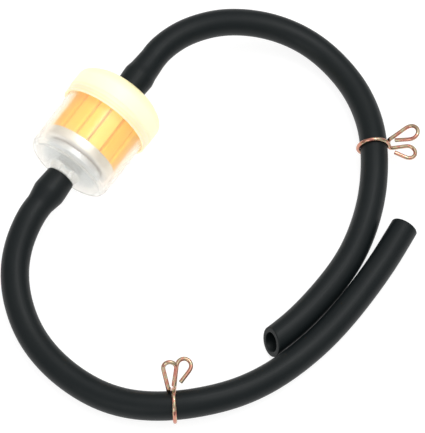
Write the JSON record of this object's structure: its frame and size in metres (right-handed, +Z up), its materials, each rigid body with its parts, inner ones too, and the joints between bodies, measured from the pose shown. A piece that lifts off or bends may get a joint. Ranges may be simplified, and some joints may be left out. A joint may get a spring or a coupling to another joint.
{
  "type": "fuel filter",
  "caption": "Inline small-engine fuel filter with a clear bowl, a cream cap, a pleated paper element and a magnet, fitted with rubber fuel hoses and spring-wire hose clips.",
  "frame": {"origin": "on the table under the middle of the filter, the ends of its two spigots being equally far away", "axes": "+X along the filter from its bowl (inlet) end to its cap (outlet) end, +Z up from the table, the hoses lying on the -Y side"},
  "size_m": [0.1552, 0.1228, 0.0331],
  "materials": {
    "clear_plastic": "clear, slightly milky moulded plastic",
    "cream_plastic": "translucent cream moulded plastic",
    "gasket_rubber": "soft red-brown rubber",
    "filter_paper": "resin-coated orange-yellow pleated paper",
    "potting": "set bonding compound",
    "silver_sheet": "bright tinned sheet",
    "magnet": "bright plated ring",
    "white_plastic": "off-white moulded plastic",
    "hose_rubber": "matt black extruded fuel hose",
    "yellow_zinc": "yellow-passivated zinc on spring wire"
  },
  "bodies": {
    "filter": {"bowl": "clear_plastic", "cap": "cream_plastic", "joint_gasket": "gasket_rubber", "pleated_element": "filter_paper", "element_top_disc": "potting", "element_end_cap": "silver_sheet", "core_tube": "white_plastic", "magnet": "magnet", "outlet_hose_end": "hose_rubber", "inlet_hose_end": "hose_rubber", "outlet_hose": "hose_rubber", "inlet_hose": "hose_rubber"},
    "outlet_clip": {"outlet_clip": "yellow_zinc"},
    "inlet_clip": {"inlet_clip": "yellow_zinc"}
  },
  "joints": [
    {"name": "outlet_clip_turn", "type": "hinge", "parent": "filter", "child": "outlet_clip", "pos_m": [0.05192, -0.07642, 0.00617], "axis": [-0.8034, -0.5953, 0.0125], "continuous": true},
    {"name": "inlet_clip_turn", "type": "hinge", "parent": "filter", "child": "inlet_clip", "pos_m": [-0.06315, -0.07422, 0.00631], "axis": [0.6114, -0.7905, 0.0367], "continuous": true}
  ]
}
